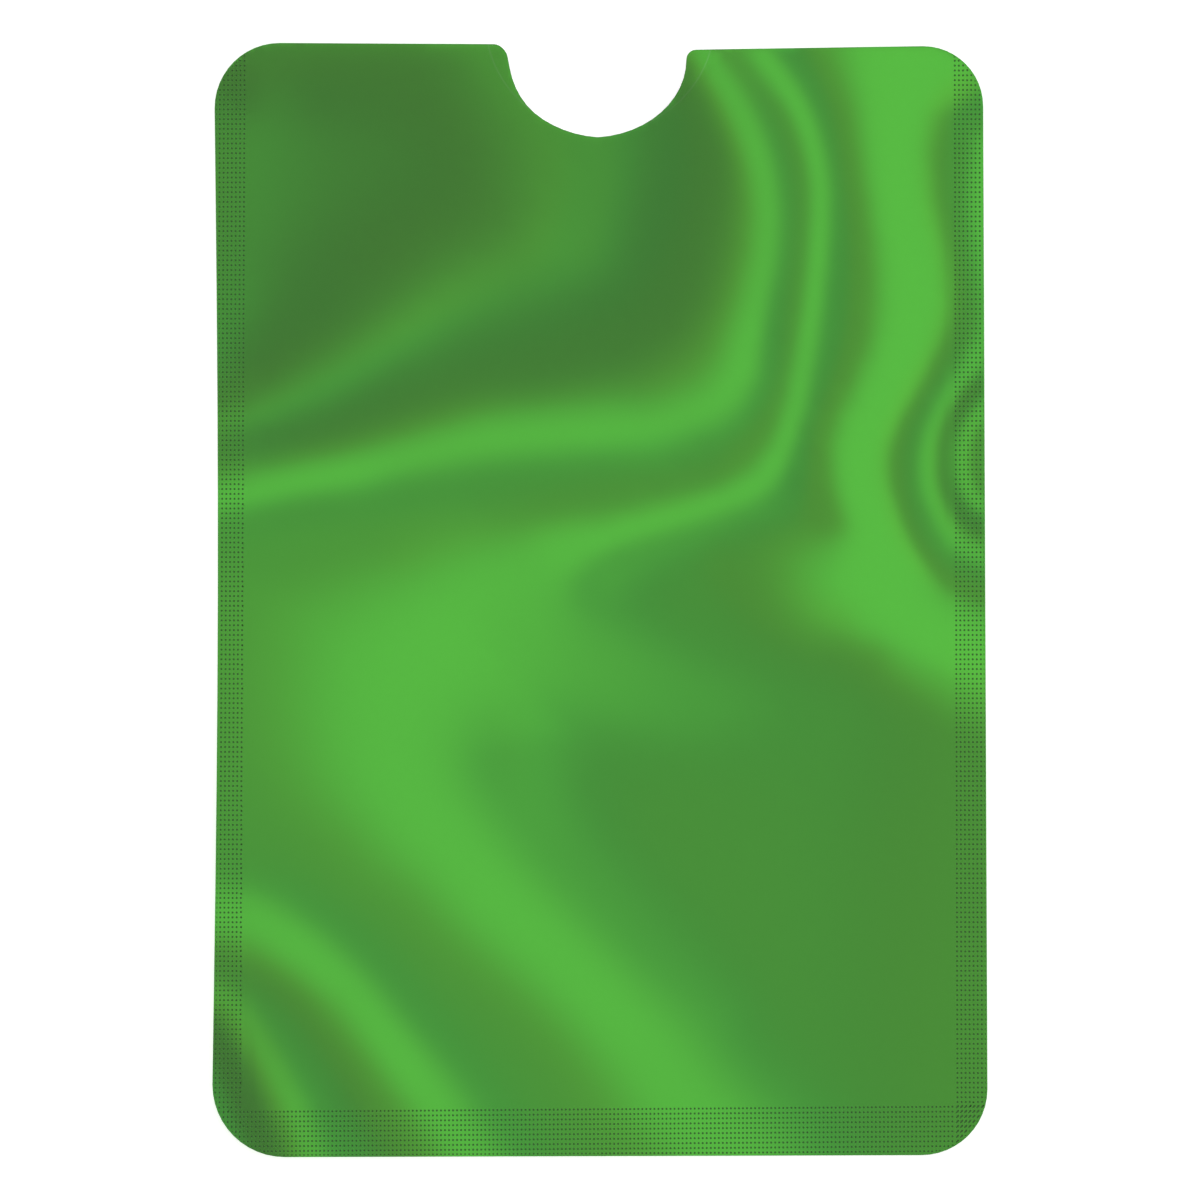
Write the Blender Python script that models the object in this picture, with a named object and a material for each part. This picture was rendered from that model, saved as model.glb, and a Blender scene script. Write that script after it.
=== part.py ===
# Foil card sleeve: a flat pouch of two laminated panels, sealed on three sides and
# open at the mouth (+Y) with a thumb cut. It lies on its rear panel, front face up.
import math

import bmesh
import bpy

MM = 0.001

# Outline, seen from the front
SLEEVE_WIDTH = 63.3 * MM
SLEEVE_HEIGHT = 91.0 * MM
LEFT_WAIST = 0.35 * MM  # how far the left edge bows in at half height
LEFT_LEAN = 0.17 * MM  # how far the left edge leans in by the mouth
RIGHT_LEAN = 0.35 * MM  # how far the right edge leans in by the mouth
FOOT_RISE = 0.15 * MM  # how much higher the foot edge is at its right end
SHOULDER_DROP = 0.27 * MM  # how far the right shoulder is under the left one
LIP_LEFT_DROP = 0.1 * MM  # how far the mouth edge has fallen where it meets the cut
LIP_RIGHT_DROP = 0.55 * MM
FOOT_LEFT_RADIUS = 5.9 * MM
FOOT_RIGHT_RADIUS = 5.4 * MM
MOUTH_RIGHT_RADIUS = 4.9 * MM
MOUTH_LEFT_RADIUS = 5.3 * MM

# Thumb cut of the front panel: two elliptical walls that meet in a faint point
CUT_HALF_WIDTH = 7.22 * MM
CUT_DEPTH = 7.7 * MM
CUT_OFFSET = -0.17 * MM  # of the cut's middle from the sleeve's
CUT_WALL_SETBACK = 0.58 * MM  # how far past the middle each wall's centre is
LIP_LEFT_RADIUS = 1.1 * MM
LIP_RIGHT_RADIUS = 0.8 * MM

# Thumb cut of the rear panel: one wider arc, just clear of the front one
REAR_CUT_RADIUS = 9.0 * MM
REAR_CUT_CLEARANCE = 0.1 * MM

# Heat seals, which join the two panels at the sides and the foot
SIDE_SEAL_WIDTH = 2.6 * MM
FOOT_SEAL_WIDTH = 4.0 * MM
SEAL_THICKNESS = 0.04 * MM
SEAL_END_GAP = 0.3 * MM  # between a side seal's end and the foot seal

# Plies of a panel, from the outside in
FILM_THICKNESS = 0.05 * MM
FOIL_THICKNESS = 0.03 * MM
LINER_THICKNESS = 0.07 * MM
BOND_GAP = 0.01 * MM  # the laminating bond between two plies

# Pocket: how the front panel bellies out over the rear one, from seal to seal
POCKET_RISE = 0.9 * MM
FOOT_RUN = 30.0 * MM  # from the foot seal to the pocket's full height
MOUTH_FLARE = 0.4 * MM  # how much further the mouth stands open
FLARE_RUN = 28.0 * MM
BELLY_POWER = 2.4  # 2 is a round belly, and more is a flatter one
PANEL_STEP = 4.5 * MM  # between the front panel's fold lines

CORNER_STEPS = 12
LIP_STEPS = 6
WALL_STEPS = 12
EDGE_STEPS = 10

# Linear colour, roughness, metallic
GREEN_FILM = ((0.1, 0.5, 0.06), 0.3, 0.9)
SILVER_FOIL = ((0.8, 0.8, 0.82), 0.35, 1.0)
WHITE_LINER = ((0.78, 0.78, 0.76), 0.5, 0.0)
CLEAR_SEAL = ((0.7, 0.72, 0.68), 0.3, 0.0)

HALF_WIDTH = SLEEVE_WIDTH / 2
HALF_HEIGHT = SLEEVE_HEIGHT / 2
POCKET_RIGHT = HALF_WIDTH - SIDE_SEAL_WIDTH
POCKET_LEFT = -POCKET_RIGHT
POCKET_FOOT = FOOT_SEAL_WIDTH - HALF_HEIGHT
LIP_LEFT_TOP = HALF_HEIGHT - LIP_LEFT_DROP
LIP_RIGHT_TOP = HALF_HEIGHT - LIP_RIGHT_DROP
CUT_TIP = HALF_HEIGHT - CUT_DEPTH


def clear_scene():
    for obj in list(bpy.data.objects):
        bpy.data.objects.remove(obj)


def arc(centre, radius, start, end, steps):
    """Points on a circle from one angle to another, in degrees."""
    points = []
    for i in range(steps + 1):
        angle = math.radians(start + (end - start) * i / steps)
        x = centre[0] + radius * math.cos(angle)
        y = centre[1] + radius * math.sin(angle)
        points.append((x, y))
    return points


def foot_edge():
    """The two foot corners, from the left side round to the right one."""
    left = (FOOT_LEFT_RADIUS - HALF_WIDTH, FOOT_LEFT_RADIUS - HALF_HEIGHT)
    right = (HALF_WIDTH - FOOT_RIGHT_RADIUS, FOOT_RISE + FOOT_RIGHT_RADIUS - HALF_HEIGHT)
    left_corner = arc(left, FOOT_LEFT_RADIUS, 180, 270, CORNER_STEPS)
    return left_corner + arc(right, FOOT_RIGHT_RADIUS, 270, 360, CORNER_STEPS)


def mouth_right_corner():
    x = HALF_WIDTH - RIGHT_LEAN - MOUTH_RIGHT_RADIUS
    y = HALF_HEIGHT - SHOULDER_DROP - MOUTH_RIGHT_RADIUS
    return arc((x, y), MOUTH_RIGHT_RADIUS, 0, 90, CORNER_STEPS)


def mouth_left_corner():
    x = LEFT_LEAN + MOUTH_LEFT_RADIUS - HALF_WIDTH
    y = HALF_HEIGHT - MOUTH_LEFT_RADIUS
    return arc((x, y), MOUTH_LEFT_RADIUS, 90, 180, CORNER_STEPS)


def left_edge():
    """The bowed left side between its corners, from the mouth down to the foot."""
    top = HALF_HEIGHT - MOUTH_LEFT_RADIUS
    bottom = FOOT_LEFT_RADIUS - HALF_HEIGHT
    points = []
    for i in range(1, EDGE_STEPS):
        share = i / EDGE_STEPS
        inset = LEFT_LEAN * (1 - share) + LEFT_WAIST * math.sin(math.pi * share)
        points.append((inset - HALF_WIDTH, top + (bottom - top) * share))
    return points


def front_cut():
    """The front thumb cut, from its right lip down to the point and up to the left lip."""
    right_y = LIP_RIGHT_TOP - LIP_RIGHT_RADIUS
    left_y = LIP_LEFT_TOP - LIP_LEFT_RADIUS
    right_x = CUT_OFFSET + CUT_HALF_WIDTH + LIP_RIGHT_RADIUS
    left_x = CUT_OFFSET - CUT_HALF_WIDTH - LIP_LEFT_RADIUS

    # Both walls start level, at the lower lip's end
    brow = min(left_y, right_y)
    reach = CUT_HALF_WIDTH + CUT_WALL_SETBACK
    tip_angle = math.acos(CUT_WALL_SETBACK / reach)
    depth = (brow - CUT_TIP) / math.sin(tip_angle)
    wall = []
    for i in range(WALL_STEPS + 1):
        angle = tip_angle * i / WALL_STEPS
        wall.append((reach * math.cos(angle) - CUT_WALL_SETBACK, brow - depth * math.sin(angle)))

    points = arc((right_x, right_y), LIP_RIGHT_RADIUS, 90, 180, LIP_STEPS)
    points += [(CUT_OFFSET + x, y) for x, y in wall]
    points += [(CUT_OFFSET - x, y) for x, y in reversed(wall)]
    points += arc((left_x, left_y), LIP_LEFT_RADIUS, 0, 90, LIP_STEPS)
    return points


def rear_cut():
    """The rear thumb cut, one arc from the right mouth edge round to the left one."""
    centre_y = CUT_TIP - REAR_CUT_CLEARANCE + REAR_CUT_RADIUS
    start = math.degrees(math.asin((LIP_RIGHT_TOP - centre_y) / REAR_CUT_RADIUS))
    end = -180 - math.degrees(math.asin((LIP_LEFT_TOP - centre_y) / REAR_CUT_RADIUS))
    return arc((CUT_OFFSET, centre_y), REAR_CUT_RADIUS, start, end, 2 * WALL_STEPS)


def outline(cut):
    """A panel's edge, anticlockwise from the left end of the foot, with no point twice."""
    edge = foot_edge() + mouth_right_corner() + cut + mouth_left_corner() + left_edge()
    return [p for i, p in enumerate(edge) if math.dist(p, edge[i - 1]) > BOND_GAP]


def clip(points, distance):
    """The part of an outline where distance(point), from some line, isn't negative."""
    kept = []
    for i, end in enumerate(points):
        start = points[i - 1]
        a = distance(start)
        b = distance(end)
        if (a < 0) != (b < 0):
            share = a / (a - b)
            x = start[0] + (end[0] - start[0]) * share
            y = start[1] + (end[1] - start[1]) * share
            kept.append((x, y))
        if b >= 0:
            kept.append(end)
    return kept


def finish(name, look):
    colour, roughness, metallic = look
    material = bpy.data.materials.new(name)
    material.use_nodes = True
    shader = material.node_tree.nodes["Principled BSDF"]
    shader.inputs["Base Color"].default_value = (*colour, 1)
    shader.inputs["Roughness"].default_value = roughness
    shader.inputs["Metallic"].default_value = metallic
    material.diffuse_color = (*colour, 1)
    return material


def filled_curve(name, points, thickness):
    """A filled outline about z = 0, which is a single face where the thickness is 0."""
    curve = bpy.data.curves.new(name, "CURVE")
    curve.dimensions = "2D"
    curve.fill_mode = "BOTH"
    curve.extrude = thickness / 2
    spline = curve.splines.new("POLY")
    spline.points.add(len(points) - 1)
    for point, (x, y) in zip(spline.points, points):
        point.co = (x, y, 0, 1)
    spline.use_cyclic_u = True
    return bpy.data.objects.new(name, curve)


def flat_ply(collection, name, points, underside, thickness, material):
    obj = filled_curve(name, points, thickness)
    obj.location.z = underside + thickness / 2
    obj.data.materials.append(material)
    collection.objects.link(obj)


def flat_blank(points):
    """A bmesh of one flat face with this outline."""
    guide = filled_curve("blank_guide", points, 0)
    bpy.context.scene.collection.objects.link(guide)
    graph = bpy.context.evaluated_depsgraph_get()
    mesh = bpy.data.meshes.new_from_object(guide.evaluated_get(graph))
    blank = bmesh.new()
    blank.from_mesh(mesh)
    bmesh.ops.remove_doubles(blank, verts=blank.verts, dist=BOND_GAP)
    bmesh.ops.dissolve_faces(blank, faces=blank.faces)
    bpy.data.meshes.remove(mesh)
    bpy.data.objects.remove(guide)
    return blank


def stations(start, end):
    """Evenly spaced fold lines, about a panel step apart, with both ends."""
    count = max(1, round((end - start) / PANEL_STEP))
    return [start + (end - start) * i / count for i in range(count + 1)]


def score(blank, place, normal):
    """Cuts every face of the blank along one straight fold line."""
    everything = blank.verts[:] + blank.edges[:] + blank.faces[:]
    bmesh.ops.bisect_plane(blank, geom=everything, plane_co=place, plane_no=normal)


def belly(share):
    """A rise from 0 that is steep at first and level at 1 and beyond."""
    return 1 - (1 - min(share, 1)) ** BELLY_POWER


def lift(x, y):
    """How far the front panel stands above the height that it has at the seals."""
    from_side = POCKET_RIGHT - abs(x)
    from_foot = y - POCKET_FOOT
    if from_side <= 0 or from_foot <= 0:
        return 0
    flare = max(0, 1 - (HALF_HEIGHT - y) / FLARE_RUN) ** 2
    height = POCKET_RISE * belly(from_foot / FOOT_RUN) + MOUTH_FLARE * flare
    return height * belly(from_side / POCKET_RIGHT)


def front_blank():
    """The front panel's blank, scored into a grid and bellied out over the pocket."""
    blank = flat_blank(outline(front_cut()))
    for x in stations(POCKET_LEFT, POCKET_RIGHT):
        score(blank, (x, 0, 0), (1, 0, 0))
    for y in stations(POCKET_FOOT, HALF_HEIGHT)[:-1]:
        score(blank, (0, y, 0), (0, 1, 0))
    bmesh.ops.triangulate(blank, faces=blank.faces)
    for vert in blank.verts:
        vert.co.z = lift(vert.co.x, vert.co.y)
    return blank


def bellied_ply(collection, name, blank, underside, thickness, material):
    """One ply of the front panel: the bellied blank, thickened straight up."""
    ply = blank.copy()
    made = bmesh.ops.extrude_face_region(ply, geom=ply.faces[:])
    top = [item for item in made["geom"] if isinstance(item, bmesh.types.BMVert)]
    bmesh.ops.translate(ply, verts=top, vec=(0, 0, thickness))
    bmesh.ops.recalc_face_normals(ply, faces=ply.faces)
    mesh = bpy.data.meshes.new(name)
    ply.to_mesh(mesh)
    ply.free()
    mesh.materials.append(material)
    mesh.shade_smooth()
    mesh.set_sharp_from_angle(angle=math.radians(40))
    obj = bpy.data.objects.new(name, mesh)
    obj.location.z = underside
    collection.objects.link(obj)


def heat_seals():
    """The outlines of the three seals, which end at the rear panel's edge."""
    edge = outline(rear_cut())
    side_foot = POCKET_FOOT + SEAL_END_GAP
    sides = clip(edge, lambda p: p[1] - side_foot)
    return {
        "left_heat_seal": clip(sides, lambda p: POCKET_LEFT - p[0]),
        "right_heat_seal": clip(sides, lambda p: p[0] - POCKET_RIGHT),
        "foot_heat_seal": clip(edge, lambda p: POCKET_FOOT - p[1]),
    }


def main():
    clear_scene()
    sleeve = bpy.data.collections.new("card_sleeve")
    bpy.context.scene.collection.children.link(sleeve)
    green = finish("green_film", GREEN_FILM)
    silver = finish("silver_foil", SILVER_FOIL)
    white = finish("white_liner", WHITE_LINER)
    clear = finish("clear_seal", CLEAR_SEAL)
    plies = (
        ("colour_film", FILM_THICKNESS, green),
        ("shield_foil", FOIL_THICKNESS, silver),
        ("seal_liner", LINER_THICKNESS, white),
    )

    # The rear panel lies flat, its colour film at the bottom
    rear = outline(rear_cut())
    level = 0
    for name, thickness, material in plies:
        flat_ply(sleeve, "rear_" + name, rear, level, thickness, material)
        level += thickness + BOND_GAP

    for name, points in heat_seals().items():
        flat_ply(sleeve, name, points, level, SEAL_THICKNESS, clear)
    level += SEAL_THICKNESS + BOND_GAP

    # The front panel bellies out over it, its colour film at the top
    blank = front_blank()
    for name, thickness, material in reversed(plies):
        bellied_ply(sleeve, "front_" + name, blank, level, thickness, material)
        level += thickness + BOND_GAP
    blank.free()


main()
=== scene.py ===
import math
import bpy
import bmesh
import numpy as np
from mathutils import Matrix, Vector


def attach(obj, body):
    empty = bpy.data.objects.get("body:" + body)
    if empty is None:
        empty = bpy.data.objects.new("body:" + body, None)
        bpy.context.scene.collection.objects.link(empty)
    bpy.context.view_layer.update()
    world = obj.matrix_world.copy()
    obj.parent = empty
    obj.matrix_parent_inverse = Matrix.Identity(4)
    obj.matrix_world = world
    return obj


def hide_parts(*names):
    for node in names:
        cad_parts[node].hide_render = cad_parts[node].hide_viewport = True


# A foil card sleeve, seen from straight above. The folds of its front panel are drawn as strokes of
# light and shade, read as slopes and summed into heights. Every ply is then cut from its CAD outline.

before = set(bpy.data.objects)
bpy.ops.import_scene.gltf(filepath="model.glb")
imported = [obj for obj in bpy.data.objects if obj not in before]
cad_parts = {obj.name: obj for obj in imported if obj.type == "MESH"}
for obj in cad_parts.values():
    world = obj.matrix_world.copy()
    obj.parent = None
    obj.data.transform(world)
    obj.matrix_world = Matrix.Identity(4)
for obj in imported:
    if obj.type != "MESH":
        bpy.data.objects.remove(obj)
for name in ('Cube', 'Light', 'Camera'):  # what a new Blender file starts with
    if name in bpy.data.objects:
        bpy.data.objects.remove(bpy.data.objects[name])
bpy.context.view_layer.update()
print('frame loaded', len(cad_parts), 'nodes')

mm = .001  # meshes are worked out in millimetres and written in metres
towardLight = np.array([1, 1]) / math.sqrt(2)  # the studio's bright side is at the upper right

photograph = {
    'pixelsPerMm': 12.24,
    'sleeveCentre': (600, 600),  # the pixel over the frame's origin
    'width': 1200,
    'cameraHeight': 2500,
    'nearClip': .1,  # in metres
    'farClip': 20,
}

foldReading = {
    'levelTone': 150,  # the tone of film that lies level
    'degreesPerTone': .045,  # a brighter tone is film that falls toward the light
    'toneSmoothing': .3,
    'step': .25,  # of the grid that the folds are worked out on
    'reach': 57,  # half the grid's side
    'edgeClearance': .05,  # between the film's lowest places and the plies under it
    'edgeSmoothing': 4,
    # A painted reflection tint: the colour turns warm where the film brightens to the right, and cool where
    # it dims.
    'driftSpread': 1.6,
    'driftSlope': 2.4,
    'driftTones': 19,
}

# Every fold is a stroke through pixels of the photograph. left and right are its half widths in
# pixels on either side of the way it runs, tone is how bright the film is along it, shape is how
# flat the middle is, and soft is how far it spreads, in millimetres.
openTone = 143
folds = {
    # upper left, falling away from the light
    'shadeField': dict(
        path=[(300, 0), (345, 110), (345, 200), (290, 290), (205, 370)],
        left=[190], right=[190], tone=[126, 124, 124, 124, 125], shape=5, soft=1.5),
    'shadeRight': dict(
        path=[(700, 20), (694, 110), (684, 200), (655, 300), (560, 350), (450, 385), (330, 424),
              (200, 455)],
        left=[48], right=[60], tone=[124, 123, 122, 123, 125, 126, 125, 122], shape=3, soft=.4),
    'sealGlow': dict(
        path=[(204, 100), (232, 150), (238, 200), (232, 250), (226, 300), (212, 345)],
        left=[34, 74, 60, 42, 38, 32], right=[50], tone=[130, 139, 138, 136, 139, 142], shape=2,
        soft=.8),
    'shadeDeep': dict(
        path=[(330, 92), (395, 98), (430, 130), (438, 180), (400, 218), (345, 262), (312, 305),
              (262, 358)],
        left=[34, 34, 34, 34, 34, 34, 30, 24], right=[30, 34, 34, 34, 34, 34, 30, 24], tone=[117],
        shape=2.2, strength=.8, soft=.6),
    'streak': dict(
        path=[(200, 425), (250, 415), (300, 396), (350, 370), (400, 337), (445, 308), (495, 281),
              (538, 257), (566, 228), (574, 190), (573, 150), (552, 112), (512, 66), (480, 20)],
        left=[11, 14, 20, 24, 28, 34, 32, 36, 42, 46, 42, 34, 28],
        right=[11, 13, 17, 19, 26, 28, 30, 34, 38, 42, 40, 34, 28],
        tone=[150, 149, 149, 150, 151, 148, 145, 148, 145, 144, 143, 143, 143], shape=2, soft=.4),
    'mouthRim': dict(
        path=[(215, 36), (300, 36), (400, 38), (480, 38)],
        left=[14], right=[12], tone=[132, 134, 134, 146], shape=2, soft=.3),
    # the broad fold of the lower half
    'restLeft': dict(
        path=[(185, 540), (215, 700), (260, 820), (350, 930), (450, 1040), (545, 1150)],
        left=[95], right=[95], tone=[148, 148, 147, 147, 147, 147], shape=3, soft=1.5),
    'restRight': dict(
        path=[(728, 575), (750, 612), (800, 652), (880, 694), (905, 780), (895, 1000), (905, 1120)],
        left=[16, 16, 18, 24, 60, 60, 60], right=[16, 16, 18, 24, 60, 60, 60],
        tone=[140, 139, 139, 141], shape=2.2, soft=1.2),
    'restMiddle': dict(
        path=[(200, 545), (300, 534), (420, 514), (560, 488), (680, 464), (740, 434), (774, 370),
              (792, 270), (790, 170), (762, 90), (728, 20)],
        left=[24], right=[24], tone=[148, 147, 145, 144, 144, 143, 143, 145], shape=2.4, soft=.5),
    'broadGlow': dict(
        path=[(560, 655), (620, 678), (700, 698), (748, 704)],
        left=[58, 44, 28, 22], right=[48, 43, 34, 26], tone=[162, 160, 153, 149], shape=2.3,
        soft=1),
    'flankGlow': dict(
        path=[(530, 742), (544, 800), (582, 860), (628, 912), (672, 960), (715, 1010)],
        left=[42, 30, 26, 26, 26, 24], right=[34], tone=[158, 156, 152, 151, 150, 149], shape=2.2,
        soft=.8),
    'broadFold': dict(
        path=[(575, 546), (505, 588), (455, 626), (412, 678), (394, 738), (412, 798), (456, 850),
              (500, 900), (555, 950), (605, 1000), (648, 1050), (680, 1100), (738, 1170)],
        left=[18, 76, 112, 93, 91, 69, 54, 48, 43, 42, 50, 57, 62],
        right=[20, 58, 74, 119, 88, 58, 48, 44, 43, 43, 48, 48, 50],
        tone=[173, 179, 183, 182, 180, 181, 181, 182, 181, 181, 179, 178, 177], shape=2.3, soft=.8),
    'broadBulge': dict(
        path=[(530, 650), (600, 674), (690, 698)],
        left=[50, 42, 28], right=[23, 29, 28], tone=[172, 163, 153], shape=2.2, strength=.8,
        soft=1.2),
    # the two long folds from the mouth round to the left seal
    'thinGlow': dict(
        path=[(780, 505), (722, 522), (680, 541), (640, 557), (606, 580)],
        left=[9, 11, 15, 19, 20], right=[9, 11, 15, 19, 20], tone=[148, 151, 152, 154, 157],
        shape=2, soft=.4),
    'thinFold': dict(
        path=[(748, 28), (768, 60), (796, 100), (812, 140), (820, 180), (821, 210), (819, 250),
              (814, 300), (808, 340), (798, 400), (786, 440), (775, 464), (757, 484), (722, 500),
              (676, 515), (620, 532), (560, 553)],
        left=[13, 11, 10, 10, 10, 10, 10, 10, 11, 10, 9, 11, 14, 13, 13, 13, 18],
        right=[13, 12, 10, 9, 9, 9, 9, 9, 9, 11, 12, 15, 16, 13, 15, 18, 22],
        tone=[176, 179, 180, 180, 179, 179, 181, 180, 179, 178, 179, 180, 180, 179, 180, 181, 179],
        shape=1.9),
    'longFold': dict(
        path=[(691, 28), (711, 60), (737, 100), (759, 150), (769, 200), (768, 250), (759, 300),
              (751, 338), (742, 373), (720, 400), (686, 416), (650, 427), (600, 431), (500, 438),
              (446, 448), (400, 459), (353, 471), (301, 480), (246, 493), (195, 503)],
        left=[12, 13, 12, 12, 12, 12, 11, 12, 16, 21, 21, 22, 20, 21, 21, 20, 20, 18, 14, 13],
        right=[14, 15, 18, 17, 17, 18, 20, 23, 27, 28, 26, 26, 28, 28, 26, 24, 22, 20, 20, 17],
        tone=[176, 173, 173, 175, 174, 174, 175, 179, 180, 177, 175, 176, 178, 177, 175, 174, 179,
              178, 177, 177], shape=1.9),
    # the wide fold down the right side
    'footFlank': dict(
        path=[(855, 550), (835, 575), (840, 598), (864, 618)],
        left=[30], right=[20, 43, 36, 22], tone=[168, 170, 169, 164], shape=2.2, soft=.4),
    'footSkirt': dict(
        path=[(898, 664), (935, 684), (968, 699), (1005, 716)],
        left=[15, 16, 18, 20], right=[13, 15, 17, 18], tone=[151, 155, 158, 160], shape=2, soft=.5),
    'wideFold': dict(
        path=[(908, 10), (904, 60), (899, 110), (897, 150), (902, 200), (911, 250), (915, 300),
              (906, 350), (886, 400), (866, 440), (863, 480), (874, 520), (890, 565)],
        left=[96, 90, 37, 31, 31, 36, 37, 29, 27, 26, 28, 30, 38],
        right=[72, 60, 39, 31, 29, 32, 35, 32, 31, 29, 25, 23, 29], tone=[188], shape=3.5, soft=.3),
    'wideFoot': dict(
        path=[(868, 578), (890, 600), (925, 630), (962, 651), (1005, 672)],
        left=[35, 45, 44, 45, 45], right=[31, 34, 32, 29, 29], tone=[188], shape=2.8, soft=.3),
    # the right edge, and the small round buckle in its seal
    'edgeTrough': dict(
        path=[(1005, 115), (975, 122), (957, 150), (954, 200), (961, 260), (965, 310), (956, 345),
              (943, 370), (929, 396), (914, 420), (906, 445), (903, 475), (910, 510), (922, 540),
              (938, 562), (962, 582), (1000, 594)],
        left=[14, 14, 12, 11, 11, 10, 10], right=[12, 13, 12, 12, 11, 9, 14],
        tone=[150, 145, 146, 141, 143, 143, 143, 144, 145], shape=3),
    'edgeRim': dict(
        path=[(987, 143), (983, 180), (983, 215), (987, 255), (991, 295), (991, 330)],
        left=[11], right=[11, 12, 12, 11, 11, 11], tone=[178, 182, 182, 178, 172, 170], shape=2),
    'buckleRing': dict(
        path=[(1000, 335), (990, 341), (980, 354), (967, 374), (952, 398), (938, 424), (930, 455),
              (932, 485), (940, 508), (952, 531), (967, 547), (1000, 560)],
        left=[11], right=[12, 12, 11, 10, 10, 9, 9, 10, 10, 10, 10, 10],
        tone=[172, 174, 176, 175, 177, 178, 178, 177, 176, 175, 173, 172], shape=2.2),
    'buckleGroove': dict(
        path=[(1000, 374), (979, 386), (963, 404), (951, 427), (946, 456), (949, 485), (959, 508),
              (974, 523), (1000, 531)],
        left=[8], right=[8], tone=[135, 132, 131, 133, 138, 133, 131, 131, 133], shape=2.2),
    'buckleCrest': dict(
        path=[(1000, 398), (983, 412), (970, 432), (965, 455), (968, 482), (980, 500), (1000, 508)],
        left=[6], right=[8], tone=[176], shape=2.2),
    'buckleHeart': dict(
        path=[(988, 446), (983, 460), (986, 476)],
        left=[9], right=[8], tone=[147], shape=2.2),
    'mouthCorner': dict(
        path=[(220, 58), (243, 90)],
        left=[16], right=[16], tone=[117], shape=2, soft=.5),
    # lower left corner
    'cornerFold': dict(
        path=[(195, 909), (251, 917), (295, 941), (326, 966), (354, 992), (380, 1026), (408, 1064),
              (436, 1103), (480, 1170)],
        left=[26, 24, 22, 22, 21, 22, 24, 27, 28], right=[24, 25, 24, 23, 23, 22, 22, 23, 24],
        tone=[173, 174, 177, 177, 176, 178, 180, 178, 174], shape=2.2),
    'cornerDip': dict(
        path=[(200, 957), (254, 981), (287, 1003), (306, 1026), (324, 1050), (340, 1075),
              (356, 1103), (396, 1170)],
        left=[17], right=[17], tone=[138, 138, 138, 138, 138, 137, 137], shape=2.4),
    'cornerRidge': dict(
        path=[(200, 990), (230, 1000), (248, 1020), (262, 1045), (274, 1065), (287, 1090),
              (299, 1115), (318, 1170)],
        left=[11, 12, 13, 15, 16], right=[10, 10, 11, 12, 13], tone=[156, 157, 159, 162, 166, 166],
        shape=2.2),
    'cornerShade': dict(
        path=[(194, 1012), (219, 1046), (236, 1078), (247, 1105), (257, 1130), (272, 1170)],
        left=[14, 15, 16, 16], right=[16, 15, 15, 16], tone=[114, 113, 113, 114, 116], shape=2.4),
}

# Where the photograph's green is warmer or cooler than its tone alone makes it: tone is here from -1,
# cool, to 1, warm.
# These strokes paint a reflection tint into the film's green.
reflectionTintStrokes = {
    'shadeEven': dict(
        path=[(290, 60), (360, 150), (310, 260)],
        left=[85], right=[85], tone=[-.15, -.1, -.2], shape=2, soft=2),
    'thumbWarm': dict(
        path=[(400, 62), (460, 110), (505, 170), (470, 235), (405, 262)],
        left=[50], right=[50], tone=[.4, .5, .5, .55, .5], shape=2.2, soft=1.5),
    'mouthWarm': dict(
        path=[(215, 72), (300, 58), (400, 56), (480, 66)],
        left=[22], right=[22], tone=[.45], shape=2, soft=.6),
    'streakWarm': dict(
        path=[(215, 425), (240, 395), (275, 378), (320, 355), (360, 335), (400, 312), (440, 290)],
        left=[18], right=[18], tone=[.45], shape=2, soft=.6),
    'noseEven': dict(
        path=[(598, 125), (597, 190), (583, 250)],
        left=[19], right=[19], tone=[0], shape=2.2, soft=.8),
    'shadeCool': dict(
        path=[(668, 120), (664, 180), (648, 240), (608, 290), (545, 316), (450, 345), (350, 384),
              (255, 440)],
        left=[18], right=[18], tone=[-.7, -.8, -.75, -.7, -.6, -.55, -.6, -.6], shape=2, soft=.6),
    'underCool': dict(
        path=[(250, 520), (400, 496), (480, 480), (560, 467), (640, 456), (705, 444)],
        left=[14], right=[14], tone=[-.45, -.55, -.55, -.55, -.5, -.5], shape=2, soft=.5),
    'underWarm': dict(
        path=[(400, 556), (480, 532), (560, 514), (640, 500), (700, 484)],
        left=[13], right=[13], tone=[.6, .5, .45, .4, .4], shape=2, soft=.5),
    'shoulderWarm': dict(
        path=[(725, 572), (765, 596), (830, 630)],
        left=[20], right=[18], tone=[.6, .85, .75], shape=2.2, soft=.8),
    'hollowCool': dict(
        path=[(545, 775), (620, 742), (700, 722), (790, 728)],
        left=[42], right=[42], tone=[-.55, -.55, -.5, -.45], shape=2.2, soft=1.5),
    'restWarm': dict(
        path=[(985, 705), (960, 800), (950, 900), (957, 1000), (975, 1100)],
        left=[50, 60, 70, 62, 50], right=[40, 60, 80, 70, 50], tone=[.6, .55, .55, .55, .5],
        shape=2, soft=2),
    'edgeWarm': dict(
        path=[(966, 86), (945, 106), (937, 150), (938, 200), (949, 250), (954, 300), (941, 350),
              (918, 390), (899, 430), (894, 460), (899, 500), (910, 530), (929, 560), (955, 584),
              (1000, 600)],
        left=[13], right=[13], tone=[.8], shape=3, soft=.4),
    'edgeCool': dict(
        path=[(970, 125), (967, 170), (966, 210), (976, 260), (984, 300), (972, 350), (946, 388),
              (925, 425), (918, 460), (922, 505), (934, 534), (962, 560), (1000, 572)],
        left=[9], right=[9], tone=[-.4], shape=2.2, soft=.3),
    'buckleWarm': dict(
        path=[(972, 388), (955, 405), (942, 432), (936, 460), (943, 500), (960, 528), (985, 538)],
        left=[7], right=[7], tone=[.35], shape=2.2, soft=.3),
    'heartWarm': dict(
        path=[(979, 436), (975, 460), (979, 482)],
        left=[9], right=[12], tone=[.5, .6, .4], shape=2.2, soft=.3),
}


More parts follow.
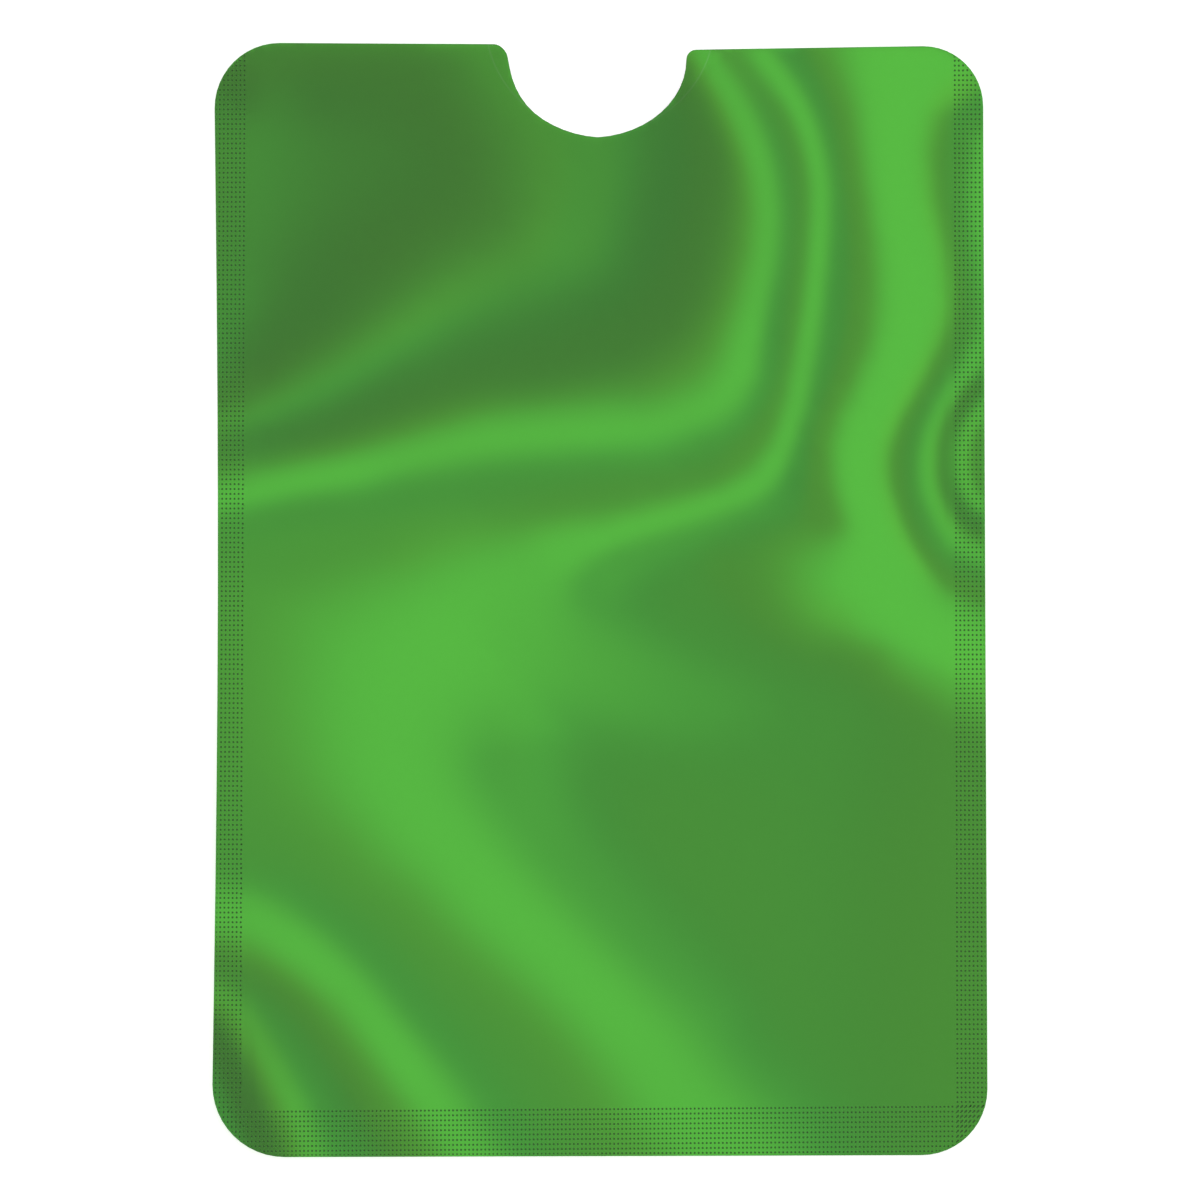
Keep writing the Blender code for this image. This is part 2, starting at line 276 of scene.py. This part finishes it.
# A curve through every point, as points close together.
def smoothPath(points, pointsPerSpan=8):
    first = 2 * np.array(points[0]) - points[1]
    last = 2 * np.array(points[-1]) - points[-2]
    ends = np.vstack([first, points, last]).astype(float)
    curve = []
    for before, start, stop, after in zip(ends, ends[1:], ends[2:], ends[3:]):
        for share in np.arange(pointsPerSpan) / pointsPerSpan:
            cubic = 3 * start - before - 3 * stop + after
            square = 2 * before - 5 * start + 4 * stop - after
            curve.append(start + share / 2 * (stop - before + share * (square + share * cubic)))
    curve.append(ends[-2])
    return np.array(curve)


# A few values taken evenly along a stroke of count points.
def spread(values, count):
    return np.interp(np.linspace(0, 1, count), np.linspace(0, 1, len(values)), values)


def blurred(grid, radius):  # in millimetres
    reach = math.ceil(2.5 * radius / foldReading['step'])
    shifts = np.arange(-reach, reach + 1)
    weights = np.exp(-.5 * (shifts * foldReading['step'] / radius) ** 2)
    for axis in (0, 1):
        grid = sum(weight * np.roll(grid, shift, axis) for shift, weight in zip(shifts, weights))
        grid = grid / weights.sum()
    return grid


# How much of a stroke is felt at each place, and the tone it has there.
def strokeReach(pixelX, pixelY, stroke):
    path = smoothPath(stroke['path'])
    left, right, tone = (spread(stroke[key], len(path)) for key in ('left', 'right', 'tone'))
    heading = np.gradient(path, axis=0)
    nearest = np.full(pixelX.shape, np.inf)
    share = np.zeros(pixelX.shape)
    toneHere = np.zeros(pixelX.shape)
    for i in range(len(path)):
        acrossX = pixelX - path[i, 0]
        acrossY = pixelY - path[i, 1]
        gap = acrossX ** 2 + acrossY ** 2
        onRight = heading[i, 0] * acrossY > heading[i, 1] * acrossX
        closer = gap < nearest
        nearest = np.where(closer, gap, nearest)
        share = np.where(closer, gap / np.where(onRight, right[i], left[i]) ** 2, share)
        toneHere = np.where(closer, tone[i], toneHere)
    felt = stroke.get('strength', 1) * np.exp(-math.log(2) * share ** (stroke['shape'] / 2))
    if 'soft' in stroke:
        felt = blurred(felt, stroke['soft'])
        toneHere = blurred(toneHere, stroke['soft'])
    return felt, toneHere


# All strokes painted one over another.
def paintStrokes(pixelX, pixelY, strokes, painted):
    for stroke in strokes.values():
        felt, tone = strokeReach(pixelX, pixelY, stroke)
        painted = painted * (1 - felt) + tone * felt
    return painted


# The left wall of the front cut leans out a little more on the photograph than in the CAD. Each line is
# a place on it, how far that place moves, and how far around it the wall follows, in millimetres.
cutCorrections = {
    'lip': ((-7.9, 45), (-.25, 0), 1.1),
    'lowerWall': ((-5.4, 40), (-.06, -.03), 2),
}


# The rim of a CAD ply seen from above, as points in order, in millimetres.
def outlineOf(nodeName):
    bm = bmesh.new()
    bm.from_mesh(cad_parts[nodeName].data)
    bmesh.ops.remove_doubles(bm, verts=bm.verts, dist=.001 * mm)
    bm.normal_update()
    notTop = [face for face in bm.faces if face.normal.z < .3]  # the underside and the cut edges
    bmesh.ops.delete(bm, geom=notTop, context='FACES')
    follow = {}
    for edge in bm.edges:
        if len(edge.link_faces) == 1:
            loop = edge.link_loops[0]
            follow[loop.vert.index] = loop.link_loop_next.vert
    bm.verts.ensure_lookup_table()
    at = start = next(iter(follow))
    points = []
    while not points or at != start:
        points.append(bm.verts[at].co.xy / mm)
        at = follow[at].index
    bm.free()
    points = np.array(points)
    if nodeName.startswith('front'):
        for place, move, reach in cutCorrections.values():
            gap = np.hypot(*(points - place).T)
            points += np.exp(-(gap / reach) ** 2)[:, None] * move
    return points


def isInside(x, y, outline):
    inside = np.zeros(x.shape, bool)
    for (fromX, fromY), (toX, toY) in zip(outline, np.roll(outline, -1, axis=0)):
        if fromY != toY:
            crossing = (fromY > y) != (toY > y)
            inside ^= crossing & (x < fromX + (y - fromY) / (toY - fromY) * (toX - fromX))
    return inside


# Adds up the slopes along each row of the grid, which runs toward the light. A row starts as high as it
# takes to keep the film off the plies under it, and neighbouring rows start nearly level.
def readHeights(tones, toward, x, y):
    fall = np.radians((tones - foldReading['levelTone']) * foldReading['degreesPerTone'])
    fall -= toward / (2 * photograph['cameraHeight'])  # the camera sees the edges at a slight angle
    fall *= isInside(x, y, outlineOf(plies['frontFilm']['node']))
    rise = -np.cumsum(fall, axis=1) * foldReading['step']
    start = np.maximum(0, -rise.min(axis=1)) + foldReading['edgeClearance']
    start = np.repeat(start[:, None], rise.shape[1], axis=1)
    widest = start.copy()
    reach = int(foldReading['edgeSmoothing'] / foldReading['step'])
    for shift in range(-reach, reach + 1):
        widest = np.maximum(widest, np.roll(start, shift, axis=0))
    return rise + blurred(widest, foldReading['edgeSmoothing'] / 2)


# How warm the painted reflection tint of the green is, from -1 to 1: first from the folds alone, and then
# with the tint strokes over it.
def readReflectionTint(tones, pixelX, pixelY):
    slope = np.gradient(blurred(tones, foldReading['driftSpread']), foldReading['step'])
    toRight = slope[1] * towardLight[0] - slope[0] * towardLight[1]
    middling = np.exp(-((tones - openTone) / foldReading['driftTones']) ** 2)
    drift = np.tanh(toRight / foldReading['driftSlope']) * middling
    return paintStrokes(pixelX, pixelY, reflectionTintStrokes, drift)


# The heights and the painted reflection tint of the front film, on a grid whose rows run toward the light.
def readFolds():
    along = np.arange(-foldReading['reach'], foldReading['reach'], foldReading['step'])
    toward, across = np.meshgrid(along, along)
    x = toward * towardLight[0] - across * towardLight[1]
    y = toward * towardLight[1] + across * towardLight[0]
    scale = photograph['pixelsPerMm']
    centreX, centreY = photograph['sleeveCentre']
    pixelX = centreX + x * scale
    pixelY = centreY - y * scale
    tones = paintStrokes(pixelX, pixelY, folds, np.full(x.shape, float(openTone)))
    tones = blurred(tones, foldReading['toneSmoothing'])
    return readHeights(tones, toward, x, y), readReflectionTint(tones, pixelX, pixelY)


plies = {
    'frontFilm': {'node': 'front_colour_film', 'slot': 'green_film', 'low': .35, 'high': .4, 'dots': 1},
    'frontFoil': {'node': 'front_shield_foil', 'slot': 'silver_foil', 'low': .31, 'high': .34},
    'frontLiner': {'node': 'front_seal_liner', 'slot': 'white_liner', 'low': .23, 'high': .3},
    'leftSeal': {'node': 'left_heat_seal', 'slot': 'clear_seal', 'low': .18, 'high': .22},
    'rightSeal': {'node': 'right_heat_seal', 'slot': 'clear_seal', 'low': .18, 'high': .22},
    'footSeal': {'node': 'foot_heat_seal', 'slot': 'clear_seal', 'low': .18, 'high': .22},
    'rearLiner': {'node': 'rear_seal_liner', 'slot': 'white_liner', 'low': .1, 'high': .17},
    'rearFoil': {'node': 'rear_shield_foil', 'slot': 'silver_foil', 'low': .06, 'high': .09},
    'rearFilm': {'node': 'rear_colour_film', 'slot': 'green_film', 'low': 0, 'high': .05, 'dots': -1},
}

cutting = {
    'farX': 33,  # cutting lines are counted out to here, just past the sleeve
    'farY': 47,
    'plainCell': 1,  # of the plies inside
    'rimWidth': .045,  # of the narrow ring at the films' cut edge, which carries the painted shade along the rim
    'sharpAngle': 1,  # edges that turn more than this, in radians, stay sharp
    'pocketRun': 10,  # how far into the pocket the rear laminate comes down to the table
}

sealing = {
    'leftEdge': -29.06,  # where the dotted bands begin, and how far they lean
    'leftLean': .0043,
    'rightEdge': 28.92,
    'rightLean': -.0026,
    'footEdge': -41.4,
    'footLean': .0072,
    'footDrop': .22,  # how much lower the foot band begins at its left end
    'sideColumn': .3345,
    'sideRow': .3975,
    'footColumn': .3289,
    'footRow': .4028,
    'footReach': 30,  # columns are counted out to here in the foot band, and to here above it
    'pocketReach': 28.6,
    'clearance': .1,  # no line is cut closer than this to a band's edge
    'wholeShare': .88,  # a cell with this much of its area left gets a whole dot
    'cutOffShare': .4,  # and one at the rim with this much a narrow dot
    'dotBorder': .08,
    'cutBorder': .05,
    'dotRadius': .097,
    'dotWall': .02,
    'dotDepth': .012,
    # Two rollers pressed the corners and drew the dots out: which way, how much longer and how much narrower.
    'leftCorner': ((.2, .98), 1.3, .95),
    'rightCorner': ((.72, .69), 2, .9),
}

heights, reflectionTintGrid = readFolds()
print('fold heights', round(float(heights.min()), 2), 'to', round(float(heights.max()), 2), 'mm')


# The grid's values at places given in millimetres.
def sample(grid, x, y):
    toward = (x * towardLight[0] + y * towardLight[1] + foldReading['reach']) / foldReading['step']
    across = (y * towardLight[0] - x * towardLight[1] + foldReading['reach']) / foldReading['step']
    column = np.floor(toward).astype(int)
    row = np.floor(across).astype(int)
    shareX = toward - column
    shareY = across - row
    lower = grid[row, column] * (1 - shareX) + grid[row, column + 1] * shareX
    upper = grid[row + 1, column] * (1 - shareX) + grid[row + 1, column + 1] * shareX
    return lower * (1 - shareY) + upper * shareY


def frontHeight(x, y):
    return sample(heights, x, y)


# The rear laminate follows the front one in the seals and lies on the table inside them.
def rearHeight(x, y):
    inside = np.minimum(sealing['rightEdge'] - np.abs(x), y - sealing['footEdge'])
    share = np.clip(inside / cutting['pocketRun'], 0, 1)
    return frontHeight(x, y) * (1 - share ** 2 * (3 - 2 * share))


# Cuts the faces by parallel lines, given from low to high, and returns all the pieces.
def cutLines(bm, faces, normal, offsets):
    done = []
    ahead = list(faces)
    for offset in offsets:
        if not ahead:
            break
        edges = {edge for face in ahead for edge in face.edges}
        verts = {vert for face in ahead for vert in face.verts}
        place = Vector((normal[0], normal[1], 0)) * (offset / (normal[0] ** 2 + normal[1] ** 2))
        cut = bmesh.ops.bisect_plane(
            bm, geom=ahead + list(edges) + list(verts), dist=1e-6, plane_co=place, plane_no=(*normal, 0))
        pieces = [item for item in cut['geom'] if isinstance(item, bmesh.types.BMFace)]
        ahead = []
        for face in pieces:
            middle = face.calc_center_median()
            if middle.x * normal[0] + middle.y * normal[1] > offset:
                ahead.append(face)
            else:
                done.append(face)
    return done + ahead


# Places a pitch apart between low and high, counted from start.
def steps(low, high, pitch, start=0):
    first = math.ceil((low - start) / pitch)
    last = math.floor((high - start) / pitch)
    return [start + i * pitch for i in range(first, last + 1)]


def inFootBand(place):
    return place.y - place.x * sealing['footLean'] < sealing['footEdge']


def inLeftBand(place):
    return place.x - place.y * sealing['leftLean'] < sealing['leftEdge']


def inRightBand(place):
    return place.x - place.y * sealing['rightLean'] > sealing['rightEdge']


def splitFaces(faces, isChosen):
    chosen = [face for face in faces if isChosen(face.calc_center_median())]
    others = [face for face in faces if not isChosen(face.calc_center_median())]
    return chosen, others


# Cuts a film into one cell for each seal dot, and into cells of the same rows between the seals. Returns
# the seals' cells, and those of the two corners with the way that their dots are drawn out.
def cutBands(bm):
    leftEdge, rightEdge, footEdge = sealing['leftEdge'], sealing['rightEdge'], sealing['footEdge']
    clearance = sealing['clearance']
    leftLine = (1, -sealing['leftLean'])
    rightLine = (1, -sealing['rightLean'])
    footLine = (-sealing['footLean'], 1)
    faces = cutLines(bm, list(bm.faces), leftLine, [leftEdge])
    faces = cutLines(bm, faces, rightLine, [rightEdge])
    faces = cutLines(bm, faces, footLine, [footEdge])
    foot, upper = splitFaces(faces, inFootBand)
    footRows = steps(-cutting['farY'], footEdge - clearance, sealing['footRow'], footEdge)
    firstRow = footEdge - sealing['footDrop'] + sealing['sideRow']  # a whole cell over the left corner
    sideRows = steps(firstRow - clearance, cutting['farY'], sealing['sideRow'], firstRow)
    leftColumns = steps(-cutting['farX'], leftEdge - clearance, sealing['sideColumn'], leftEdge)
    rightColumns = steps(rightEdge + clearance, cutting['farX'], sealing['sideColumn'], rightEdge)
    dotted = []
    drawn = {}
    for part, rowLine, leftRows in ((foot, footLine, footRows), (upper, (0, 1), sideRows)):
        rows = leftRows if part is foot else leftRows[1:]
        left, rest = splitFaces(part, inLeftBand)
        right, between = splitFaces(rest, inRightBand)
        left = cutLines(bm, cutLines(bm, left, leftLine, leftColumns), rowLine, leftRows)
        right = cutLines(bm, cutLines(bm, right, rightLine, rightColumns), rowLine, rows)
        dotted += left + right
        if part is foot:
            drawn = dict.fromkeys(left, sealing['leftCorner'])
            drawn.update(dict.fromkeys(right, sealing['rightCorner']))
        reach = sealing['footReach'] if part is foot else sealing['pocketReach']
        columns = steps(-reach, reach, sealing['footColumn'])
        between = cutLines(bm, cutLines(bm, between, (1, 0), columns), rowLine, rows)
        if part is foot:
            dotted += between
    return dotted, drawn


def keepSharp(face):
    for edge in face.edges:
        edge.smooth = False


# A dot in every whole cell of the seals, and a narrow one where the die cut through a cell.
def cutDots(bm, dotted, drawn, ring, press):
    cellArea = sealing['sideColumn'] * sealing['sideRow']
    whole = []
    cutOff = []
    for face in dotted:
        share = face.calc_area() / cellArea
        atRim = any(beside[ring] for edge in face.edges for beside in edge.link_faces)
        if not face[ring] and share > sealing['wholeShare']:
            whole.append(face)
        elif not face[ring] and share > sealing['cutOffShare'] and atRim:
            cutOff.append(face)
    roundDot = ((1, 0), 1, 1)
    shapes = [drawn.get(face, roundDot) for face in whole]
    bmesh.ops.inset_individual(bm, faces=whole, thickness=sealing['dotBorder'], depth=0)
    bmesh.ops.inset_individual(bm, faces=cutOff, thickness=sealing['cutBorder'], depth=0)
    for face, (direction, stretch, squeeze) in zip(whole, shapes):
        direction = Vector((*direction, 0)).normalized()
        crossways = Vector((-direction.y, direction.x, 0))
        middle = face.calc_center_median()
        for edge in list(face.edges):
            bmesh.utils.edge_split(edge, edge.verts[0], .5)
        for vert in face.verts:
            offset = (vert.co - middle).normalized() * sealing['dotRadius']
            along = direction * offset.dot(direction) * stretch
            vert.co = middle + along + crossways * offset.dot(crossways) * squeeze
    for face in cutOff:
        middle = face.calc_center_median()
        for vert in face.verts:
            offset = vert.co - middle
            vert.co = middle + offset * min(1, sealing['dotRadius'] / offset.length)
    dots = whole + cutOff
    for face in dots:
        keepSharp(face)
    bmesh.ops.inset_individual(bm, faces=dots, thickness=sealing['dotWall'], depth=0)
    for face in dots:
        keepSharp(face)
        for vert in face.verts:
            vert[press] = 1
    return len(dots)


# The flat blank of a ply, cut into cells. A film also gets the narrow ring along its rim.
def cutBlank(bm, ply, ring):
    blank = bm.faces.new([bm.verts.new((x, y, 0)) for x, y in outlineOf(ply['node'])])
    bm.normal_update()
    if 'dots' not in ply:
        columns = steps(-cutting['farX'], cutting['farX'], cutting['plainCell'])
        rows = steps(-cutting['farY'], cutting['farY'], cutting['plainCell'])
        cutLines(bm, cutLines(bm, [blank], (1, 0), columns), (0, 1), rows)
        return [], {}
    inset = bmesh.ops.inset_region(
        bm, faces=[blank], thickness=cutting['rimWidth'], use_boundary=True, use_even_offset=True)
    for face in inset['faces']:
        face[ring] = 1
    return cutBands(bm)


# One ply of the sleeve: its blank, given its thickness and its dots, and lifted by the folds.
def addPly(name, material):
    ply = plies[name]
    bm = bmesh.new()
    ring = bm.faces.layers.int.new('ring')
    rim = bm.verts.layers.float.new('rim')
    press = bm.verts.layers.float.new('press')
    warm = bm.verts.layers.float.new('warm')
    dotted, drawn = cutBlank(bm, ply, ring)
    for edge in bm.edges:
        if edge.is_boundary:
            for vert in edge.verts:
                vert[rim] = 1
    copied = bmesh.ops.extrude_face_region(bm, geom=list(bm.faces), use_keep_orig=True)
    innerVerts = {item for item in copied['geom'] if isinstance(item, bmesh.types.BMVert)}
    count = cutDots(bm, dotted, drawn, ring, press) if dotted else 0
    outward = ply.get('dots', 1)
    outer, inner = (ply['high'], ply['low']) if outward > 0 else (ply['low'], ply['high'])
    places = np.array([vert.co.xy for vert in bm.verts])
    heightOf = rearHeight if ply['node'].startswith('rear') else frontHeight
    lift = heightOf(places[:, 0], places[:, 1])
    warmth = sample(reflectionTintGrid, places[:, 0], places[:, 1])
    for vert, raised, warmed in zip(list(bm.verts), lift, warmth):
        pressed = outward * vert[press] * sealing['dotDepth']
        vert.co.z = raised + (inner if vert in innerVerts else outer - pressed)
        vert[warm] = warmed
    bmesh.ops.recalc_face_normals(bm, faces=bm.faces)
    for edge in bm.edges:
        if edge.calc_face_angle(0) > cutting['sharpAngle']:
            edge.smooth = False
    for face in bm.faces:
        face.smooth = True
    bmesh.ops.scale(bm, vec=(mm, mm, mm), verts=bm.verts)
    mesh = bpy.data.meshes.new(name)
    bm.to_mesh(mesh)
    bm.free()
    piece = bpy.data.objects.new(name, mesh)
    bpy.context.scene.collection.objects.link(piece)
    mesh.materials.append(material)
    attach(piece, 'root')
    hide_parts(ply['node'])
    print(name, len(mesh.polygons), 'faces,', count, 'dots')


# A material whose plain values are given by the names of its shader's sockets.
def newMaterial(name, values):
    material = bpy.data.materials.new(name)
    material.use_nodes = True
    shader = material.node_tree.nodes['Principled BSDF']
    for socket, value in values.items():
        shader.inputs[socket].default_value = value
    return material


# A node with its settings, its plain inputs and its links from other nodes.
def addNode(tree, kind, inputs=None, **settings):
    node = tree.nodes.new('ShaderNode' + kind)
    for key, value in settings.items():
        setattr(node, key, value)
    for key, value in (inputs or {}).items():
        if isinstance(value, bpy.types.NodeSocket):
            tree.links.new(value, node.inputs[key])
        else:
            node.inputs[key].default_value = value
    return node


# Two colours mixed by a share, which is a number or comes from another node.
def mixColours(tree, share, first, second):
    return addNode(tree, 'Mix', {0: share, 6: first, 7: second}, data_type='RGBA').outputs[2]


greenFilm = {
    # the film's green, with a painted reflection tint from cool to warm
    'coolColour': (.063, .5, .04, 1),
    'warmColour': (.093, .5, .028, 1),
    'roughness': .12,
    'grain': .00035,  # of the fine unevenness of the gloss, in metres
    'grainDepth': .02,
    'haze': 1,  # a faint milky layer over the metal
    'hazeRoughness': .75,
    'hazeIndex': 1.6,
    'paintedDotShade': .3,  # painted shade in the seal dots' pits, which are also a little duller
    'paintedDotShadeStart': .6,  # how far down a dot's wall its painted shade is full, and its dullness
    'dotRoughness': .2,
    'dotRoughnessStart': .15,
    'rimShadeColour': (.03, .3, .012, 1),  # painted shade along the film's die-cut edge
    'rimShadeStart': .6,
    'ridgeHighlightMiddle': (0, .04734, 0),  # a painted highlight: a pale hairline along the ridge where the rear laminate's wider cut presses through
    'ridgeHighlightReach': (.00936, .00918, 1),
    'ridgeHighlightWidth': .00008,
    'ridgeHighlightColour': (.2, .56, .17, 1),
    'ridgeHighlightStrength': .4,
}


def filmRoughness(tree, place, press):
    grain = addNode(tree, 'TexNoise', {'Vector': place, 'Scale': 1 / greenFilm['grain'], 'Detail': 3})
    gloss = addNode(tree, 'MapRange', {
        'Value': grain.outputs['Fac'],
        'To Min': greenFilm['roughness'] - greenFilm['grainDepth'],
        'To Max': greenFilm['roughness'] + greenFilm['grainDepth'],
    })
    dulled = addNode(tree, 'MapRange', {
        'Value': press,
        'From Max': greenFilm['dotRoughnessStart'],
        'To Min': gloss.outputs['Result'],
        'To Max': greenFilm['dotRoughness'],
    })
    return dulled.outputs['Result']


# How much of the painted highlight hairline is seen: it lies on an oval around the mouth.
def ridgeHighlightShare(tree, place):
    offset = addNode(tree, 'VectorMath', {0: place, 1: greenFilm['ridgeHighlightMiddle']}, operation='SUBTRACT')
    flat = addNode(tree, 'VectorMath', {0: offset.outputs['Vector'], 1: (1, 1, 0)}, operation='MULTIPLY')
    ratio = addNode(tree, 'VectorMath', {0: flat.outputs['Vector'], 1: greenFilm['ridgeHighlightReach']},
                    operation='DIVIDE')
    length = addNode(tree, 'VectorMath', {0: ratio.outputs['Vector']}, operation='LENGTH')
    onLine = addNode(tree, 'Math', {
        0: length.outputs['Value'],
        1: 1,
        2: greenFilm['ridgeHighlightWidth'] / 2 / greenFilm['ridgeHighlightReach'][0],
    }, operation='COMPARE')
    strength = greenFilm['ridgeHighlightStrength']
    return addNode(tree, 'Math', {0: onLine.outputs[0], 1: strength}, operation='MULTIPLY').outputs[0]


def filmColour(tree, place, press):
    warm = addNode(tree, 'Attribute', attribute_name='warm').outputs['Fac']
    rim = addNode(tree, 'Attribute', attribute_name='rim').outputs['Fac']
    warmth = addNode(tree, 'MapRange', {'Value': warm, 'From Min': -1}).outputs['Result']
    # the film's green with a painted reflection tint
    tinted = mixColours(tree, warmth, greenFilm['coolColour'], greenFilm['warmColour'])
    # a painted highlight along the hairline ridge
    withRidgeHighlight = mixColours(tree, ridgeHighlightShare(tree, place), tinted, greenFilm['ridgeHighlightColour'])
    # painted shade in the seal dots' pits
    paintedPitShade = addNode(tree, 'MapRange', {
        'Value': press,
        'From Max': greenFilm['paintedDotShadeStart'],
        'To Min': 1,
        'To Max': greenFilm['paintedDotShade'],
    }, interpolation_type='SMOOTHSTEP')
    dotted = addNode(tree, 'VectorMath', {0: withRidgeHighlight, 'Scale': paintedPitShade.outputs['Result']}, operation='SCALE')
    # painted shade along the film's die-cut edge
    atRim = addNode(tree, 'MapRange', {'Value': rim, 'From Max': greenFilm['rimShadeStart']}).outputs['Result']
    return mixColours(tree, atRim, dotted.outputs['Vector'], greenFilm['rimShadeColour'])


# Metallised green film with a faint milky haze, painted shade in the seal dots' pits and along its cut, a
# painted reflection tint and a painted highlight hairline.
def makeGreenFilm():
    material = newMaterial('green_film', {
        'Metallic': 1,
        'Coat Weight': greenFilm['haze'],
        'Coat Roughness': greenFilm['hazeRoughness'],
        'Coat IOR': greenFilm['hazeIndex'],
    })
    tree = material.node_tree
    shader = tree.nodes['Principled BSDF']
    place = addNode(tree, 'TexCoord').outputs['Object']
    press = addNode(tree, 'Attribute', attribute_name='press').outputs['Fac']
    tree.links.new(filmColour(tree, place, press), shader.inputs['Base Color'])
    tree.links.new(filmRoughness(tree, place, press), shader.inputs['Roughness'])
    return material


silverFoil = {
    'Base Color': (.78, .79, .8, 1),
    'Metallic': 1,
    'Roughness': .28,
}

whiteLiner = {
    'Base Color': (.85, .86, .84, 1),
    'Roughness': .45,
}

clearSeal = {
    'Base Color': (.8, .84, .8, 1),
    'Roughness': .3,
    'Transmission Weight': .6,
}

studio = {
    'floorSize': 8,
    'floorDrop': .03,  # under the sleeve's lowest face
    'floorColour': (.9, .9, .9, 1),
    'floorRoughness': .9,
    'floorGlow': .6,
    'ramp': [  # from lower left, -1, to upper right, 1, and then red, green and blue light
        (-1, .75, .75, .75),
        (-.5, .6, .6, .6),
        (-.3, .34, .3, .3),
        (-.05, .3, .24, .24),
        (0, .57, .54, .54),
        (.05, 1.03, 1.05, 1.03),
        (.5, 1, 1, 1),
        (1, .85, .85, .85),
    ],
}


# Soft studio light whose brightness only turns from lower left to upper right. The camera sees white.
def makeWorld():
    world = bpy.data.worlds.new('studio')
    bpy.context.scene.world = world
    world.use_nodes = True
    tree = world.node_tree
    tree.nodes.clear()
    place = addNode(tree, 'TexCoord').outputs['Generated']
    facing = addNode(tree, 'VectorMath', {0: place, 1: (*towardLight, 0)}, operation='DOT_PRODUCT')
    share = addNode(tree, 'MapRange', {'Value': facing.outputs['Value'], 'From Min': -1, 'From Max': 1})
    ramp = addNode(tree, 'ValToRGB', {'Fac': share.outputs['Result']})
    points = ramp.color_ramp.elements
    while len(points) < len(studio['ramp']):
        points.new(.5)
    for point, (direction, *light) in zip(points, studio['ramp']):
        point.position = (direction + 1) / 2
        point.color = (*light, 1)
    light = addNode(tree, 'Background', {'Color': ramp.outputs['Color']})
    white = addNode(tree, 'Background', {'Color': (1, 1, 1, 1)})
    rays = addNode(tree, 'LightPath')
    mixed = addNode(tree, 'MixShader', {
        0: rays.outputs['Is Camera Ray'],
        1: light.outputs[0],
        2: white.outputs[0],
    })
    output = addNode(tree, 'OutputWorld')
    tree.links.new(mixed.outputs[0], output.inputs[0])


# A pale table that looks white to the camera and in reflections, and keeps the sleeve's shadow.
def makeFloor():
    material = newMaterial('table', {
        'Base Color': studio['floorColour'],
        'Roughness': studio['floorRoughness'],
        'Emission Color': (1, 1, 1, 1),
    })
    tree = material.node_tree
    rays = addNode(tree, 'LightPath')
    seen = rays.outputs['Is Camera Ray']
    for ray in ('Is Glossy Ray', 'Is Transmission Ray'):
        seen = addNode(tree, 'Math', {0: seen, 1: rays.outputs[ray]}, operation='MAXIMUM').outputs[0]
    glow = addNode(tree, 'Math', {0: seen, 1: studio['floorGlow']}, operation='MULTIPLY')
    shader = tree.nodes['Principled BSDF']
    tree.links.new(glow.outputs[0], shader.inputs['Emission Strength'])
    half = studio['floorSize'] / 2
    mesh = bpy.data.meshes.new('table')
    corners = [(-half, -half, 0), (half, -half, 0), (half, half, 0), (-half, half, 0)]
    mesh.from_pydata(corners, [], [(0, 1, 2, 3)])
    mesh.materials.append(material)
    floor = bpy.data.objects.new('table', mesh)
    floor.location.z = -studio['floorDrop'] * mm
    bpy.context.scene.collection.objects.link(floor)
    print('table and studio light made')


# Straight above the sleeve, with the photograph's frame.
def makeCamera():
    data = bpy.data.cameras.new('camera')
    height = photograph['cameraHeight']
    frameWidth = photograph['width'] / photograph['pixelsPerMm']
    data.lens = data.sensor_width * height / frameWidth
    data.clip_start = photograph['nearClip']
    data.clip_end = photograph['farClip']
    camera = bpy.data.objects.new('camera', data)
    camera.location.z = height * mm
    bpy.context.scene.collection.objects.link(camera)
    bpy.context.scene.camera = camera


def makeSleeve():
    finishes = {
        'green_film': makeGreenFilm(),
        'silver_foil': newMaterial('silver_foil', silverFoil),
        'white_liner': newMaterial('white_liner', whiteLiner),
        'clear_seal': newMaterial('clear_seal', clearSeal),
    }
    for name, ply in plies.items():
        addPly(name, finishes[ply['slot']])


makeCamera()
makeWorld()
makeFloor()
makeSleeve()
bpy.context.scene.view_settings.view_transform = 'Standard'
